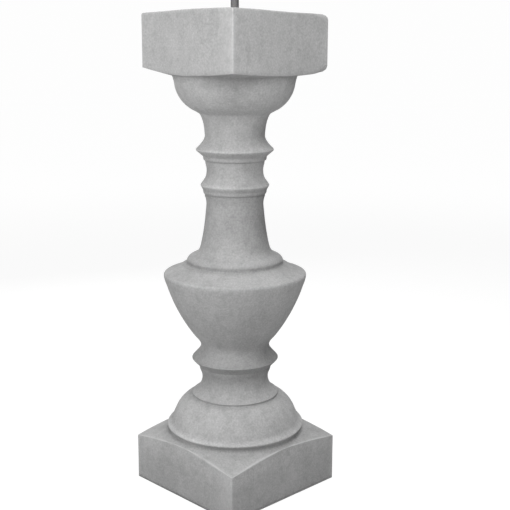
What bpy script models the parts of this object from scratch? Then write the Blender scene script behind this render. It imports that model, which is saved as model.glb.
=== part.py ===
"""Cast-stone baluster: plinth, turned stem and cap in one casting, and the steel bar in its top.

Metres, +Z up. The origin is at the centre of the underside, the square faces look along X and Y.
The casting starts as one turned blank, whose plinth and cap are then cut square.
"""
import math

import bmesh
import bpy

# Square ends
PLINTH_SIDE = 0.183
PLINTH_CORNER_HEIGHT = 0.0568
CROWN_RISE = 0.0118             # the plinth's turned top rises from its corners to the foot of the cove
CAP_SIDE = 0.160
CAP_HEIGHT = 0.0748             # from the rim of the bowl to the top
CAP_SOFFIT_RISE = 0.0041        # the cap's underside rises from the rim of the bowl to the corners
ARRIS_RADIUS = 0.002            # worn edges of the two square ends

# Cove between the plinth and the bell: its foot all but touches the middle of each side of the plinth
COVE_SET_BACK = 0.001
COVE_FOOT_RADIUS = PLINTH_SIDE / 2 - COVE_SET_BACK
COVE_REACH = 0.0022             # the foot of the cove stands out this far beyond the lip above it
COVE_HEIGHT = 0.0092
COVE_BULGE = -0.42

# Bell: a lip, a flared skirt, a dome, a shallow groove and a hollow throat
LIP_RADIUS = COVE_FOOT_RADIUS - COVE_REACH
LIP_HEIGHT = 0.0018
SKIRT_TOP_RADIUS = 0.0781
SKIRT_HEIGHT = 0.0164
SKIRT_BULGE = -0.1
DOME_TOP_RADIUS = 0.0568
DOME_HEIGHT = 0.0228
DOME_BULGE = 0.2
GROOVE_HEIGHT = 0.0024
GROOVE_DEPTH = 0.0012
THROAT_HEIGHT = 0.0218
THROAT_BULGE = -0.32

# Lower neck and its fillet
LOWER_NECK_RADIUS = 0.0425
LOWER_NECK_HEIGHT = 0.009
LOWER_NECK_BULGE = -0.12
LOWER_FILLET_RADIUS = 0.0452
LOWER_FILLET_HEIGHT = 0.0058
LOWER_FILLET_SPREAD = 0.001     # the fillet widens by this much under its ring

# Lower ring, between the bell and the urn
LOWER_RING_RADIUS = 0.0556
LOWER_RING_UNDER = 0.0091       # height of the flank under the nose
LOWER_RING_NOSE = 0.0012
LOWER_RING_OVER = 0.0101        # height of the flank over the nose

# Waist under the urn
WAIST_RADIUS = 0.0438
WAIST_LOW_HEIGHT = 0.0058
WAIST_LOW_RADIUS = 0.0462
WAIST_HIGH_HEIGHT = 0.006
WAIST_BULGE = -0.16

# Urn: body, lip, sloping shoulder and collar
URN_FOOT_RADIUS = 0.0453
URN_RADIUS = 0.0903
URN_HEIGHT = 0.0868
URN_BULGE = 0.112
URN_LIP_HEIGHT = 0.0036
URN_LIP_SET_BACK = 0.0015
URN_LIP_BULGE = 0.35
SHOULDER_HEIGHT = 0.0146
SHOULDER_BULGE = -0.12
COLLAR_RADIUS = 0.0617
COLLAR_HEIGHT = 0.0086
COLLAR_BULGE = 0.3

# Shaft, which tapers from the collar to the middle ring
SHAFT_FOOT_RADIUS = 0.0515
SHAFT_FOOT_HEIGHT = 0.0109
SHAFT_FOOT_BULGE = -0.236
SHAFT_LOW_RADIUS = 0.0435
SHAFT_HEIGHT = 0.0565
SHAFT_BULGE = -0.049
SHAFT_TOP_RADIUS = 0.0359
SHAFT_HEAD_HEIGHT = 0.008
SHAFT_HEAD_RADIUS = 0.0384
SHAFT_HEAD_BULGE = -0.12

# Middle ring and its fillet
MIDDLE_FILLET_RADIUS = 0.0392
MIDDLE_FILLET_STEP = 0.0016
MIDDLE_FILLET_HEIGHT = 0.005
MIDDLE_RING_RADIUS = 0.0431
MIDDLE_RING_UNDER = 0.005
MIDDLE_RING_NOSE = 0.0018
MIDDLE_RING_OVER = 0.005

# Neck between the middle and the upper ring
MIDDLE_NECK_FOOT_RADIUS = 0.0391
MIDDLE_NECK_RADIUS = 0.0354
MIDDLE_NECK_LOW_HEIGHT = 0.0102
MIDDLE_NECK_LOW_BULGE = -0.17
MIDDLE_NECK_HEIGHT = 0.0054
MIDDLE_NECK_HIGH_HEIGHT = 0.0086
MIDDLE_NECK_HEAD_RADIUS = 0.0382
MIDDLE_NECK_HIGH_BULGE = -0.09

# Upper ring and its fillet
UPPER_FILLET_RADIUS = 0.0391
UPPER_FILLET_STEP = 0.0012
UPPER_FILLET_HEIGHT = 0.0046
UPPER_RING_RADIUS = 0.0484
UPPER_RING_UNDER = 0.007
UPPER_RING_NOSE = 0.0024
UPPER_RING_OVER = 0.008

# Upper neck
UPPER_NECK_FOOT_RADIUS = 0.0404
UPPER_NECK_RADIUS = 0.0371
UPPER_NECK_LOW_HEIGHT = 0.0076
UPPER_NECK_LOW_BULGE = -0.15
UPPER_NECK_HEIGHT = 0.0116
UPPER_NECK_SPREAD = 0.0011
UPPER_NECK_HIGH_HEIGHT = 0.0153
UPPER_NECK_HEAD_RADIUS = 0.0434
UPPER_NECK_HIGH_BULGE = -0.1

# Bowl under the cap
BOWL_FOOT_RADIUS = 0.0479
BOWL_FOOT_HEIGHT = 0.0027
BOWL_HEIGHT = 0.0356
BOWL_BULGE = 0.28
BOWL_RIM_SET_BACK = 0.0035      # from the middle of each side of the cap
BOWL_RIM_RADIUS = CAP_SIDE / 2 - BOWL_RIM_SET_BACK
BOWL_RIM_FLARE = 0.0023
BOWL_RADIUS = BOWL_RIM_RADIUS - BOWL_RIM_FLARE
BOWL_RIM_HEIGHT = 0.0076

# Steel bar in the middle of the cap
ROD_DIAMETER = 0.010
ROD_STAND_OUT = 0.050
ROD_EMBEDMENT = 0.080
ROD_CLEARANCE = 0.0003

# Shape shared by the fillets and by the noses of the rings
FILLET_SPREAD = 0.0006
NOSE_SET_BACK = 0.0005

# How finely round things are divided
TURNING_STEPS = 40
SQUARE_STEPS = 4
FACET_DEPTH = 0.00012           # a facet of an arc lies no deeper than this under it
ROD_SIDES = 24
ROD_SMOOTH_ANGLE = math.radians(40)
ARRIS_SEGMENTS = 2
BLANK_MARGIN = 0.010            # the turned blank reaches this far past the square ends
MERGE_DISTANCE = 0.00001

# Finishes
STONE_COLOUR = (0.36, 0.36, 0.36)
STONE_ROUGHNESS = 0.92
STEEL_COLOUR = (0.2, 0.2, 0.2)
STEEL_ROUGHNESS = 0.55


class Profile:
    """Outline of a turned shape as (radius, height) points, built from the bottom up."""

    def __init__(self, radius, height):
        self.points = [(radius, height)]

    @property
    def height(self):
        return self.points[-1][1]

    @property
    def radius(self):
        return self.points[-1][0]

    def line(self, radius, rise):
        """Straight stretch up to the given radius."""
        self.points.append((radius, self.height + rise))

    def arc(self, radius, rise, bulge):
        """Round stretch: bulge is its depth over half its chord, outwards where it is positive."""
        start_radius, start_height = self.points[-1]
        half_radius = (radius - start_radius) / 2
        half_rise = rise / 2
        half_chord = math.hypot(half_radius, half_rise)
        steps = math.ceil(math.sqrt(abs(bulge) * half_chord / FACET_DEPTH))
        half_angle = 2 * math.atan(bulge)
        arc_radius = half_chord / math.sin(half_angle)
        along = (half_radius / half_chord, half_rise / half_chord)
        outward = (along[1], -along[0])
        set_back = arc_radius * math.cos(half_angle)
        centre = (start_radius + half_radius - outward[0] * set_back,
                  start_height + half_rise - outward[1] * set_back)
        for step in range(1, steps + 1):
            angle = half_angle * (2 * step / steps - 1)
            across, forward = arc_radius * math.cos(angle), arc_radius * math.sin(angle)
            self.points.append((centre[0] + outward[0] * across + along[0] * forward,
                                centre[1] + outward[1] * across + along[1] * forward))

    def ring(self, radius, under, nose, over, next_radius):
        """Ring with two straight flanks and a blunt nose."""
        self.line(radius - NOSE_SET_BACK, under)
        self.line(radius, nose / 2)
        self.line(radius - NOSE_SET_BACK, nose / 2)
        self.line(next_radius, over)

    def fillet(self, radius, step, height):
        """Narrow upright band that steps out from the neck below it."""
        self.line(radius, step)
        self.line(radius + FILLET_SPREAD, height)


def add_bell(profile):
    """Cove, lip, skirt, dome, groove and throat, from the plinth's crown to the lower neck."""
    profile.arc(LIP_RADIUS, COVE_HEIGHT, COVE_BULGE)
    profile.line(LIP_RADIUS, LIP_HEIGHT)
    profile.arc(SKIRT_TOP_RADIUS, SKIRT_HEIGHT, SKIRT_BULGE)
    profile.arc(DOME_TOP_RADIUS, DOME_HEIGHT, DOME_BULGE)
    profile.line(DOME_TOP_RADIUS - GROOVE_DEPTH, GROOVE_HEIGHT / 2)
    profile.line(DOME_TOP_RADIUS - GROOVE_DEPTH / 2, GROOVE_HEIGHT / 2)
    profile.arc(LOWER_NECK_RADIUS, THROAT_HEIGHT, THROAT_BULGE)


def add_lower_ring(profile):
    """Lower neck with its fillet, the lower ring and the waist under the urn."""
    profile.arc(LOWER_FILLET_RADIUS, LOWER_NECK_HEIGHT, LOWER_NECK_BULGE)
    profile.line(LOWER_FILLET_RADIUS + LOWER_FILLET_SPREAD, LOWER_FILLET_HEIGHT)
    profile.ring(LOWER_RING_RADIUS, LOWER_RING_UNDER, LOWER_RING_NOSE, LOWER_RING_OVER, WAIST_LOW_RADIUS)
    profile.arc(WAIST_RADIUS, WAIST_LOW_HEIGHT, WAIST_BULGE)
    profile.arc(URN_FOOT_RADIUS, WAIST_HIGH_HEIGHT, WAIST_BULGE)


def add_urn(profile):
    """Urn body, its lip, the sloping shoulder and the collar."""
    profile.arc(URN_RADIUS, URN_HEIGHT, URN_BULGE)
    profile.arc(URN_RADIUS - URN_LIP_SET_BACK, URN_LIP_HEIGHT, URN_LIP_BULGE)
    profile.arc(COLLAR_RADIUS, SHOULDER_HEIGHT, SHOULDER_BULGE)
    profile.arc(SHAFT_FOOT_RADIUS, COLLAR_HEIGHT, COLLAR_BULGE)


def add_shaft(profile):
    """Hollowed foot, long taper and head of the shaft."""
    profile.arc(SHAFT_LOW_RADIUS, SHAFT_FOOT_HEIGHT, SHAFT_FOOT_BULGE)
    profile.arc(SHAFT_TOP_RADIUS, SHAFT_HEIGHT, SHAFT_BULGE)
    profile.arc(SHAFT_HEAD_RADIUS, SHAFT_HEAD_HEIGHT, SHAFT_HEAD_BULGE)


def add_upper_rings(profile):
    """Middle ring, the neck above it and the upper ring, each ring over its fillet."""
    profile.fillet(MIDDLE_FILLET_RADIUS, MIDDLE_FILLET_STEP, MIDDLE_FILLET_HEIGHT)
    profile.ring(MIDDLE_RING_RADIUS, MIDDLE_RING_UNDER, MIDDLE_RING_NOSE, MIDDLE_RING_OVER,
                 MIDDLE_NECK_FOOT_RADIUS)
    profile.arc(MIDDLE_NECK_RADIUS, MIDDLE_NECK_LOW_HEIGHT, MIDDLE_NECK_LOW_BULGE)
    profile.line(MIDDLE_NECK_RADIUS, MIDDLE_NECK_HEIGHT)
    profile.arc(MIDDLE_NECK_HEAD_RADIUS, MIDDLE_NECK_HIGH_HEIGHT, MIDDLE_NECK_HIGH_BULGE)
    profile.fillet(UPPER_FILLET_RADIUS, UPPER_FILLET_STEP, UPPER_FILLET_HEIGHT)
    profile.ring(UPPER_RING_RADIUS, UPPER_RING_UNDER, UPPER_RING_NOSE, UPPER_RING_OVER,
                 UPPER_NECK_FOOT_RADIUS)


def add_bowl(profile):
    """Upper neck and the bowl that carries the cap."""
    profile.arc(UPPER_NECK_RADIUS, UPPER_NECK_LOW_HEIGHT, UPPER_NECK_LOW_BULGE)
    profile.line(UPPER_NECK_RADIUS + UPPER_NECK_SPREAD, UPPER_NECK_HEIGHT)
    profile.arc(UPPER_NECK_HEAD_RADIUS, UPPER_NECK_HIGH_HEIGHT, UPPER_NECK_HIGH_BULGE)
    profile.line(BOWL_FOOT_RADIUS, BOWL_FOOT_HEIGHT)
    profile.arc(BOWL_RADIUS, BOWL_HEIGHT, BOWL_BULGE)
    profile.line(BOWL_RIM_RADIUS, BOWL_RIM_HEIGHT)


def corner_radius(side):
    """Distance from the axis to a corner of a square of this side."""
    return side * math.sqrt(2) / 2


def run_past_corner(side, radius, rise):
    """Radius past a square's corner, and the rise to it of a cone that gains its rise at the corner."""
    outer = corner_radius(side) + BLANK_MARGIN
    return outer, rise * (outer - radius) / (corner_radius(side) - radius)


def stem_profile():
    """Outline from the foot of the plinth's cove up to the rim of the bowl."""
    profile = Profile(COVE_FOOT_RADIUS, PLINTH_CORNER_HEIGHT + CROWN_RISE)
    add_bell(profile)
    add_lower_ring(profile)
    add_urn(profile)
    add_shaft(profile)
    add_upper_rings(profile)
    add_bowl(profile)
    return profile


STEM = stem_profile()
STONE_HEIGHT = STEM.height + CAP_HEIGHT


def blank_outline():
    """Whole turned blank: the stem between two round ends that reach past the square ones."""
    plinth_outer, crown_fall = run_past_corner(PLINTH_SIDE, COVE_FOOT_RADIUS, CROWN_RISE)
    cap_outer, soffit_rise = run_past_corner(CAP_SIDE, BOWL_RIM_RADIUS, CAP_SOFFIT_RISE)
    crown_foot = STEM.points[0][1] - crown_fall
    lower_end = [(0.0, -BLANK_MARGIN), (plinth_outer, -BLANK_MARGIN), (plinth_outer, crown_foot)]
    upper_end = [(cap_outer, STEM.height + soffit_rise), (cap_outer, STONE_HEIGHT + BLANK_MARGIN),
                 (0.0, STONE_HEIGHT + BLANK_MARGIN)]
    return lower_end + STEM.points + upper_end


def square_outline():
    """Stepped block that the blank is cut to, square round the plinth and the cap and clear of the stem."""
    clear_radius = corner_radius(PLINTH_SIDE + CAP_SIDE + 2 * URN_RADIUS)
    lower_step = STEM.points[0][1] + COVE_HEIGHT + LIP_HEIGHT + SKIRT_HEIGHT
    upper_step = STEM.height - BOWL_RIM_HEIGHT
    return [(0.0, 0.0), (corner_radius(PLINTH_SIDE), 0.0), (corner_radius(PLINTH_SIDE), lower_step),
            (clear_radius, lower_step), (clear_radius, upper_step), (corner_radius(CAP_SIDE), upper_step),
            (corner_radius(CAP_SIDE), STONE_HEIGHT), (0.0, STONE_HEIGHT)]


def clear_scene():
    """Remove every object that the start-up file holds."""
    for item in list(bpy.data.objects):
        bpy.data.objects.remove(item, do_unlink=True)


def make_collection(name):
    collection = bpy.data.collections.new(name)
    bpy.context.scene.collection.children.link(collection)
    return collection


def make_material(name, colour, roughness, metallic):
    material = bpy.data.materials.new(name)
    material.use_nodes = True
    shader = material.node_tree.nodes["Principled BSDF"]
    shader.inputs["Base Color"].default_value = (*colour, 1.0)
    shader.inputs["Roughness"].default_value = roughness
    shader.inputs["Metallic"].default_value = metallic
    return material


def turned_object(name, outline, steps, collection):
    """Turn an outline, given from the bottom up, about the Z axis with a Screw modifier."""
    mesh = bpy.data.meshes.new(name)
    form = bmesh.new()
    verts = [form.verts.new((radius, 0.0, height)) for radius, height in reversed(outline)]
    for upper, lower in zip(verts, verts[1:]):
        form.edges.new((upper, lower))
    form.to_mesh(mesh)
    form.free()
    turned = bpy.data.objects.new(name, mesh)
    collection.objects.link(turned)
    screw = turned.modifiers.new("turn", "SCREW")
    screw.axis = "Z"
    screw.angle = 2 * math.pi
    screw.steps = steps
    screw.render_steps = steps
    screw.use_merge_vertices = True
    screw.merge_threshold = MERGE_DISTANCE
    screw.use_smooth_shade = False
    return turned


def add_rod(name, radius, bottom, top, collection):
    """Upright round bar on the axis."""
    bpy.ops.mesh.primitive_cylinder_add(vertices=ROD_SIDES, radius=radius, depth=top - bottom,
                                        location=(0.0, 0.0, (bottom + top) / 2))
    rod = bpy.context.object
    rod.name = name
    rod.data.name = name
    for owner in list(rod.users_collection):
        owner.objects.unlink(rod)
    collection.objects.link(rod)
    return rod


def hide_cutter(cutter):
    cutter.hide_render = True
    cutter.display_type = "WIRE"


def add_boolean(target, cutter, operation):
    boolean = target.modifiers.new(cutter.name, "BOOLEAN")
    boolean.object = cutter
    boolean.operation = operation
    boolean.solver = "EXACT"


def build_stone(parts, cutters):
    """One casting: the turned blank, cut square at both ends and bored for the bar."""
    stone = turned_object("baluster", blank_outline(), TURNING_STEPS, parts)
    square = turned_object("square_block", square_outline(), SQUARE_STEPS, cutters)
    square.rotation_euler.z = math.pi / SQUARE_STEPS
    worn = square.modifiers.new("worn_arrises", "BEVEL")
    worn.width = ARRIS_RADIUS
    worn.segments = ARRIS_SEGMENTS
    worn.limit_method = "ANGLE"
    hide_cutter(square)
    add_boolean(stone, square, "INTERSECT")
    socket = add_rod("bar_socket", ROD_DIAMETER / 2 + ROD_CLEARANCE,
                     STONE_HEIGHT - ROD_EMBEDMENT - ROD_CLEARANCE, STONE_HEIGHT + BLANK_MARGIN, cutters)
    hide_cutter(socket)
    add_boolean(stone, socket, "DIFFERENCE")
    stone.data.materials.append(make_material("cast_stone", STONE_COLOUR, STONE_ROUGHNESS, 0.0))
    return stone


def build_rod(parts):
    """Plain round bar, seated in the cap and standing out of its top."""
    rod = add_rod("reinforcing_rod", ROD_DIAMETER / 2, STONE_HEIGHT - ROD_EMBEDMENT,
                  STONE_HEIGHT + ROD_STAND_OUT, parts)
    rod.data.set_sharp_from_angle(angle=ROD_SMOOTH_ANGLE)
    rod.data.materials.append(make_material("mild_steel", STEEL_COLOUR, STEEL_ROUGHNESS, 1.0))
    return rod


def main():
    clear_scene()
    parts = make_collection("cast_stone_baluster")
    cutters = make_collection("cutters")
    build_stone(parts, cutters)
    build_rod(parts)


main()
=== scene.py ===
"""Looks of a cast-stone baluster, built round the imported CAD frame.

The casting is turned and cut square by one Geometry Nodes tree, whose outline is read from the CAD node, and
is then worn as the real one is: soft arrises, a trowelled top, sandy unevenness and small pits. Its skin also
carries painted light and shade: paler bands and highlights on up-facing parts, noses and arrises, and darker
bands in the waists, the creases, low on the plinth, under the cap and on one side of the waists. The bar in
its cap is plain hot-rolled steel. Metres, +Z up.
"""
import logging
import math
from dataclasses import dataclass, field
from enum import Enum
from functools import partial
from typing import Any, Callable

import bmesh
import bpy
import numpy as np
from bpy.types import Material, Mesh, Modifier, Node, NodeSocket, NodeTree, Object
from mathutils import Euler, Matrix, Vector


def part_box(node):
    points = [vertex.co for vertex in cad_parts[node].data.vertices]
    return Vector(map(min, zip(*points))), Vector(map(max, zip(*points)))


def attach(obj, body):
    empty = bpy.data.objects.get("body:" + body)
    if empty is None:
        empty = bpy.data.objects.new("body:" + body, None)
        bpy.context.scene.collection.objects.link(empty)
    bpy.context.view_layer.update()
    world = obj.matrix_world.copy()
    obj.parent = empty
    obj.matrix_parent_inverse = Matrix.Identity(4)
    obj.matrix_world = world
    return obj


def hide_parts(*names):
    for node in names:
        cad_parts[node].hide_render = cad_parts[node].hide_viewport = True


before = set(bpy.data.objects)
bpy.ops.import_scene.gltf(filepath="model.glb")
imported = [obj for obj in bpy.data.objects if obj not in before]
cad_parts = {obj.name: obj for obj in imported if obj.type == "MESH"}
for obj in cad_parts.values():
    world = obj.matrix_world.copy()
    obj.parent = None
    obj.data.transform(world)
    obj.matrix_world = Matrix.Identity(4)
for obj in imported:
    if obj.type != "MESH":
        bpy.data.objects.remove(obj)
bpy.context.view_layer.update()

LOG = logging.getLogger("baluster")
BODY = "root"
STONE_NODE = "baluster"
BAR_NODE = "reinforcing_rod"
MM = 0.001
PHOTO_SIDE = 510
MATH, VECTOR_MATH, MIX = "ShaderNodeMath", "ShaderNodeVectorMath", "ShaderNodeMix"
NOISE, MAP_RANGE, ATTRIBUTE = "ShaderNodeTexNoise", "ShaderNodeMapRange", "ShaderNodeAttribute"
STORE = "GeometryNodeStoreNamedAttribute"
SHARE, FROM, TO = 0, 6, 7           # sockets of a Mix node for colours, by number because their names repeat
PLAIN_FROM, PLAIN_TO = 2, 3         # and for plain numbers
Adder = Callable[..., Node]         # adds a node to one tree
Outline = np.ndarray                # (radius, height) points from the bottom up


# Shared helpers


def linear(colour: str) -> tuple[float, float, float, float]:
    """Turn an sRGB hex colour into the linear colour that shaders take.

    Args:
        colour: Colour such as "#B0B0B0".

    Returns:
        Red, green, blue and alpha.
    """
    parts = [int(colour[i:i + 2], 16) / 255 for i in (1, 3, 5)]
    return (*(p / 12.92 if p <= 0.04045 else ((p + 0.055) / 1.055) ** 2.4 for p in parts), 1.0)


def feed(node: Node, feeds: Any) -> None:
    """Give a node's inputs their values and links.

    Args:
        node: The node.
        feeds: What each input gets, in order, or by its name or number: a value, a socket, or a node, which
            gives its first output in use.
    """
    for key, source in feeds.items() if isinstance(feeds, dict) else enumerate(feeds):
        if isinstance(source, Node):
            source = next(socket for socket in source.outputs if socket.enabled)
        if isinstance(source, NodeSocket):
            node.id_data.links.new(source, node.inputs[key])
        else:
            node.inputs[key].default_value = source


def add_node(tree: NodeTree, kind: str, feeds: Any = (), **settings: Any) -> Node:
    """Add a node with its settings, the values of its inputs and the links into them.

    Args:
        tree: Tree that gets the node.
        kind: Type of the node.
        feeds: What its inputs get.
        settings: Properties of the node.

    Returns:
        The new node.
    """
    node = tree.nodes.new(kind)
    for name, value in settings.items():
        setattr(node, name, value)
    feed(node, feeds)
    return node


def new_material(name: str) -> tuple[Material, Node, Adder]:
    """Start a material.

    Args:
        name: Its name.

    Returns:
        The material, its shader and the function that adds a node to it.
    """
    material = bpy.data.materials.new(name)
    material.use_nodes = True
    return material, material.node_tree.nodes["Principled BSDF"], partial(add_node, material.node_tree)


def new_object(name: str, mesh: Mesh) -> Object:
    """Put a mesh into the scene as an object at the origin.

    Args:
        name: Name of the object.
        mesh: Its mesh.

    Returns:
        The object.
    """
    made = bpy.data.objects.new(name, mesh)
    bpy.context.scene.collection.objects.link(made)
    return made


def made_plain(source: Object, name: str) -> Object:
    """Turn the result of an object's modifiers into a plain mesh object, and remove the source.

    Args:
        source: Object with live modifiers.
        name: Name of the plain piece.

    Returns:
        The plain piece.
    """
    bpy.context.view_layer.update()
    graph = bpy.context.evaluated_depsgraph_get()
    mesh = bpy.data.meshes.new_from_object(source.evaluated_get(graph), preserve_all_data_layers=True,
                                           depsgraph=graph)
    bpy.data.objects.remove(source, do_unlink=True)
    mesh.name = name
    return new_object(name, mesh)


def set_inputs(modifier: Modifier, values: dict[str, Any]) -> None:
    """Set the inputs of a Geometry Nodes modifier by the identifiers of their sockets.

    Args:
        modifier: The modifier.
        values: Value of each input, by its name.
    """
    for item in modifier.node_group.interface.items_tree:
        if item.item_type == "SOCKET" and item.in_out == "INPUT" and item.name in values:
            modifier[item.identifier] = values[item.name]


def fading(gap: Any, reach: float) -> Any:
    """Share of something that is left this far from its middle, from 1 at the middle down to 0."""
    return np.exp(-((gap / reach) ** 2))


def angle_gap(one: float, other: float) -> float:
    """Degrees between two directions, from 0 to 180."""
    return abs((one - other + 180) % 360 - 180)


def arc(turn: float) -> tuple[float, float]:
    """How far in and down the curve of an arris lies at a turn in degrees, as shares of its radius."""
    return 1 - math.sin(math.radians(turn)), 1 - math.cos(math.radians(turn))


def distances(points: Outline) -> np.ndarray:
    """Distances of an outline's points from its start, along it."""
    return np.concatenate([[0.0], np.cumsum(np.hypot(*np.diff(points, axis=0).T))])


def turns(points: Outline) -> np.ndarray:
    """Angles in radians by which an outline turns at each point between its ends."""
    along = np.diff(points, axis=0)
    return np.diff(np.unwrap(np.arctan2(along[:, 1], along[:, 0])))


def straight_curve(at: np.ndarray, points: Outline, marks: np.ndarray) -> Outline:
    """Read straight lines between points, which lie at these distances, at the marks."""
    return np.column_stack([np.interp(marks, at, values) for values in points.T])


def smooth_curve(at: np.ndarray, points: Outline, marks: np.ndarray) -> Outline:
    """Pass a smooth curve through points, with the slopes of its neighbours at each.

    Args:
        at: Rising distances of the points.
        points: The points.
        marks: Distances at which the curve is read.

    Returns:
        The curve's points there.
    """
    slopes = np.gradient(points, at, axis=0, edge_order=2)
    spans = np.clip(np.searchsorted(at, marks, side="right") - 1, 0, len(at) - 2)
    width = (at[spans + 1] - at[spans])[:, None]
    t = (marks - at[spans])[:, None] / width
    return ((2 * t**3 - 3 * t**2 + 1) * points[spans] + (t**3 - 2 * t**2 + t) * width * slopes[spans]
            + (3 * t**2 - 2 * t**3) * points[spans + 1] + (t**3 - t**2) * width * slopes[spans + 1])


# Finishes


@dataclass(frozen=True)
class CastCement:
    """Cast cement with sand, struck from a mould and rubbed by hand: a dry, chalky grey with fine pores."""

    name: str = "cast_cement_sand_face"
    pale: str = "#C0C0C0"           # dry cement skin
    dull: str = "#9B9B9B"           # damp or sandy patches, a little darker
    stain: str = "#8E8E8E"          # small dark blotches
    rubbed: str = "#CDCDCD"         # arrises where handling has taken the skin off, also painted highlights on arrises and noses
    pore: str = "#6E6E6E"           # inside of an air hole
    roughness: float = 0.93
    specular: float = 0.3
    cloud_size: float = 55 * MM
    mottle_size: float = 14 * MM
    blotch_size: float = 10 * MM
    streak_width: float = 9 * MM
    streak_length: float = 90 * MM
    grain_size: float = 1.3 * MM    # real sand is 0.3 to 0.8 mm; drawn coarser so that it shows
    cloud_weight: float = 0.65
    mottle_weight: float = 0.5
    streak_weight: float = 0.25
    grain_weight: float = 1.3
    blotch_strength: float = 0.22
    pore_spacing: float = 6 * MM
    pore_radius: float = 0.7 * MM
    pore_lack: float = 0.62         # share of the cells without a pore
    grain_depth: float = 0.16 * MM
    grain_strength: float = 0.55
    least_rub: float = 0.4
    most_rub: float = 0.95
    painted_shading_strength: float = 0.08             # how much darker or paler a full step of painted shade or light makes the skin

    def build(self) -> Material:
        """Make the material.

        Returns:
            The finished material.
        """
        material, shader, add = new_material(self.name)
        place = add("ShaderNodeTexCoord").outputs["Object"]
        colour, pores = self._pores(add, place, self._skin(add, place))
        colour = self._rubbed_and_highlit_edges(add, place, colour)
        # Painted light and shade, stored on the casting's points, scales the skin's colour.
        tone = add(ATTRIBUTE, attribute_name="tone").outputs["Fac"]
        painted_lightness = add(MATH, [tone, self.painted_shading_strength, 1.0], operation="MULTIPLY_ADD")
        colour = add(VECTOR_MATH, {0: colour, "Scale": painted_lightness}, operation="SCALE")
        grain = add(NOISE, {"Vector": place, "Scale": 1 / self.grain_size, "Detail": 3.0, "Roughness": 0.6})
        relief = add(MATH, [grain, pores], operation="SUBTRACT")
        bump = add("ShaderNodeBump", {"Strength": self.grain_strength, "Distance": self.grain_depth * 2,
                                      "Height": relief})
        feed(shader, {"Base Color": colour, "Roughness": self.roughness,
                      "Specular IOR Level": self.specular, "Normal": bump})
        return material

    def _skin(self, add: Adder, place: NodeSocket) -> Node:
        """Clouds, mottling, faint runs, grain and small blotches of the cement skin.

        Args:
            add: Adds a node to the material.
            place: Object coordinates.

        Returns:
            Colour of the skin.
        """
        width, length = 1 / self.streak_width, 1 / self.streak_length
        stretched = add("ShaderNodeMapping", {"Vector": place, "Scale": (width, width, length)})
        total: Any = 0.5
        for where, scale, detail, roughness, weight in (
                (place, 1 / self.cloud_size, 2.0, 0.5, self.cloud_weight),
                (place, 1 / self.mottle_size, 4.0, 0.6, self.mottle_weight),
                (stretched, 1.0, 2.0, 0.5, self.streak_weight),
                (place, 0.6 / self.grain_size, 2.0, 0.5, self.grain_weight)):
            texture = add(NOISE, {"Vector": where, "Scale": scale, "Detail": detail, "Roughness": roughness})
            part = add(MATH, [texture, 0.5], operation="SUBTRACT")
            total = add(MATH, [part, weight, total], operation="MULTIPLY_ADD")
        skin = add(MIX, {SHARE: total, FROM: linear(self.dull), TO: linear(self.pale)}, data_type="RGBA")
        blotch = add(NOISE, {"Vector": place, "Scale": 1 / self.blotch_size, "Detail": 1.5})
        amount = add(MAP_RANGE, {"Value": blotch, "From Min": 0.52, "From Max": 0.68,
                                 "To Max": self.blotch_strength}, interpolation_type="SMOOTHSTEP")
        return add(MIX, {SHARE: amount, FROM: skin, TO: linear(self.stain)}, data_type="RGBA")

    def _pores(self, add: Adder, place: NodeSocket, colour: Node) -> tuple[Node, Node]:
        """Fine air holes, in about a third of the cells of a coarse cell pattern.

        Args:
            add: Adds a node to the material.
            place: Object coordinates.
            colour: Colour of the skin.

        Returns:
            Colour with the holes, and how deep each point lies in one, from 0 to 1.
        """
        cells = add("ShaderNodeTexVoronoi", {"Vector": place, "Scale": 1 / self.pore_spacing})
        chance = add("ShaderNodeSeparateColor", [cells.outputs["Color"]])
        size = add(MAP_RANGE, {"Value": chance, "From Min": self.pore_lack, "From Max": 1.0,
                               "To Max": self.pore_radius / self.pore_spacing * 1.3})
        depth = add(MAP_RANGE, {"Value": cells, "From Min": size, "From Max": 0.0},
                    interpolation_type="SMOOTHSTEP")
        pit = add(ATTRIBUTE, attribute_name="pit").outputs["Fac"]
        both = add(MATH, [depth, pit], operation="MAXIMUM")
        return add(MIX, {SHARE: both, FROM: colour, TO: linear(self.pore)}, data_type="RGBA"), depth

    def _rubbed_and_highlit_edges(self, add: Adder, place: NodeSocket, colour: Node) -> Node:
        """Paler arrises and noses, in patches: rubbed wear, with painted highlights along them.

        Args:
            add: Adds a node to the material.
            place: Object coordinates.
            colour: Colour of the skin.

        Returns:
            Colour with the rubbed and highlit edges.
        """
        worn = add(ATTRIBUTE, attribute_name="worn").outputs["Fac"]
        patch = add(NOISE, {"Vector": place, "Scale": 0.6 / self.mottle_size, "Detail": 3.0})
        patchy = add(MAP_RANGE, {"Value": patch, "From Min": 0.35, "From Max": 0.65,
                                 "To Min": self.least_rub, "To Max": self.most_rub})
        amount = add(MATH, [worn, patchy], operation="MULTIPLY")
        return add(MIX, {SHARE: amount, FROM: colour, TO: linear(self.rubbed)}, data_type="RGBA")


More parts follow.
